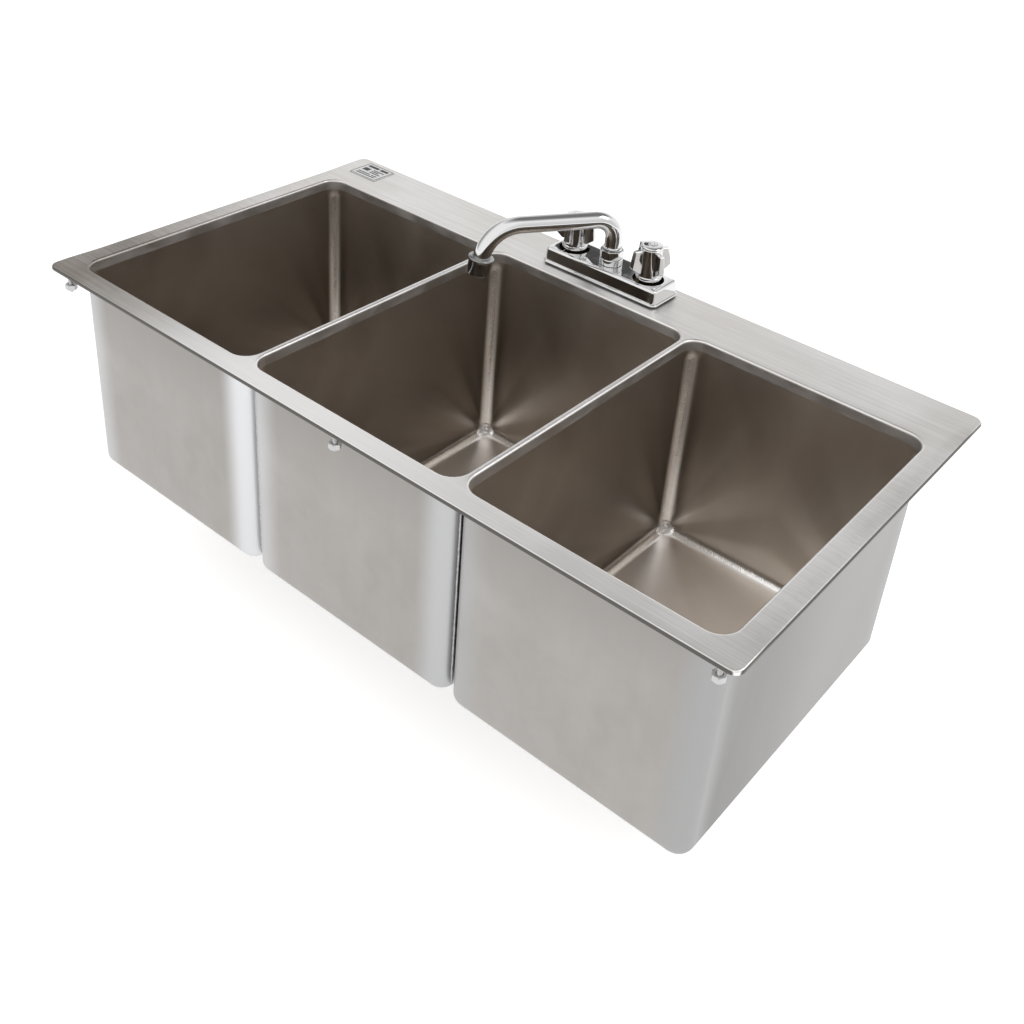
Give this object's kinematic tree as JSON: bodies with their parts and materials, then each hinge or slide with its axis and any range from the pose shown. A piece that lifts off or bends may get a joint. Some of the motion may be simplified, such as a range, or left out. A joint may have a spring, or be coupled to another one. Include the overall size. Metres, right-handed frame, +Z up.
{
  "type": "three compartment sink",
  "caption": "Wide drop-in stainless steel sink with deep bowls side by side under one flat rim, a deck faucet with cross handles and a swinging spout, and basket strainer drains.",
  "frame": {"origin": "centre of the rim, on the plane of the counter that the turned-down edge of the rim rests on", "axes": "+X to the right along the front as the user faces the sink, +Y from the front to the faucet at the back, +Z up"},
  "size_m": [0.85, 0.456, 0.4375],
  "materials": {
    "brushed_stainless": "brushed along the length of the rim",
    "bowl_stainless": "satin",
    "chrome": "polished",
    "brass": "machined",
    "zinc_plated_steel": "zinc plated",
    "black_rubber": "matt",
    "label_white": "printed film"
  },
  "bodies": {
    "sink": {"rim_flange": "brushed_stainless", "bowl_left": "bowl_stainless", "bowl_middle": "bowl_stainless", "bowl_right": "bowl_stainless", "deck_label": "label_white", "hold_down_stud_front_left": "zinc_plated_steel", "hold_down_stud_front_middle": "zinc_plated_steel", "hold_down_stud_front_right": "zinc_plated_steel", "hold_down_stud_back_left": "zinc_plated_steel", "hold_down_stud_back_middle": "zinc_plated_steel", "hold_down_stud_back_right": "zinc_plated_steel", "hold_down_nut_front_left": "zinc_plated_steel", "hold_down_nut_front_middle": "zinc_plated_steel", "hold_down_nut_front_right": "zinc_plated_steel", "hold_down_nut_back_left": "zinc_plated_steel", "hold_down_nut_back_middle": "zinc_plated_steel", "hold_down_nut_back_right": "zinc_plated_steel", "faucet_base": "chrome", "faucet_gasket": "black_rubber", "faucet_waterway": "brass", "hot_cartridge": "brass", "cold_cartridge": "brass", "spout_post": "chrome", "spout_nut": "chrome", "spout_o_ring": "black_rubber", "hot_inlet_shank": "brass", "cold_inlet_shank": "brass", "hot_shank_locknut": "zinc_plated_steel", "cold_shank_locknut": "zinc_plated_steel", "strainer_body_left": "bowl_stainless", "strainer_gasket_left": "black_rubber", "strainer_locknut_left": "zinc_plated_steel", "tailpiece_nut_left": "chrome", "tailpiece_left": "chrome", "strainer_body_middle": "bowl_stainless", "strainer_gasket_middle": "black_rubber", "strainer_locknut_middle": "zinc_plated_steel", "tailpiece_nut_middle": "chrome", "tailpiece_middle": "chrome", "strainer_body_right": "bowl_stainless", "strainer_gasket_right": "black_rubber", "strainer_locknut_right": "zinc_plated_steel", "tailpiece_nut_right": "chrome", "tailpiece_right": "chrome"},
    "spout": {"spout_tube": "chrome", "aerator_housing": "chrome", "aerator_screen": "black_rubber"},
    "hot_handle_set": {"hot_handle": "chrome", "hot_stem": "brass", "hot_handle_screw": "zinc_plated_steel", "hot_index_button": "chrome"},
    "cold_handle_set": {"cold_handle": "chrome", "cold_stem": "brass", "cold_handle_screw": "zinc_plated_steel", "cold_index_button": "chrome"},
    "basket_left": {"strainer_basket_left": "bowl_stainless"},
    "basket_middle": {"strainer_basket_middle": "bowl_stainless"},
    "basket_right": {"strainer_basket_right": "bowl_stainless"}
  },
  "joints": [
    {"name": "spout_swivel", "type": "hinge", "parent": "sink", "child": "spout", "pos_m": [0, 0.193, 0.004], "axis": [0, 0, 1], "continuous": true},
    {"name": "hot_handle_turn", "type": "hinge", "parent": "sink", "child": "hot_handle_set", "pos_m": [-0.0508, 0.193, 0.004], "axis": [0, 0, 1], "range_deg": [0, 90]},
    {"name": "cold_handle_turn", "type": "hinge", "parent": "sink", "child": "cold_handle_set", "pos_m": [0.0508, 0.193, 0.004], "axis": [0, 0, -1], "range_deg": [0, 90]},
    {"name": "basket_left_lift", "type": "slide", "parent": "sink", "child": "basket_left", "axis": [0, 0, 1], "range_m": [0, 0.06]},
    {"name": "basket_middle_lift", "type": "slide", "parent": "sink", "child": "basket_middle", "axis": [0, 0, 1], "range_m": [0, 0.06]},
    {"name": "basket_right_lift", "type": "slide", "parent": "sink", "child": "basket_right", "axis": [0, 0, 1], "range_m": [0, 0.06]}
  ]
}
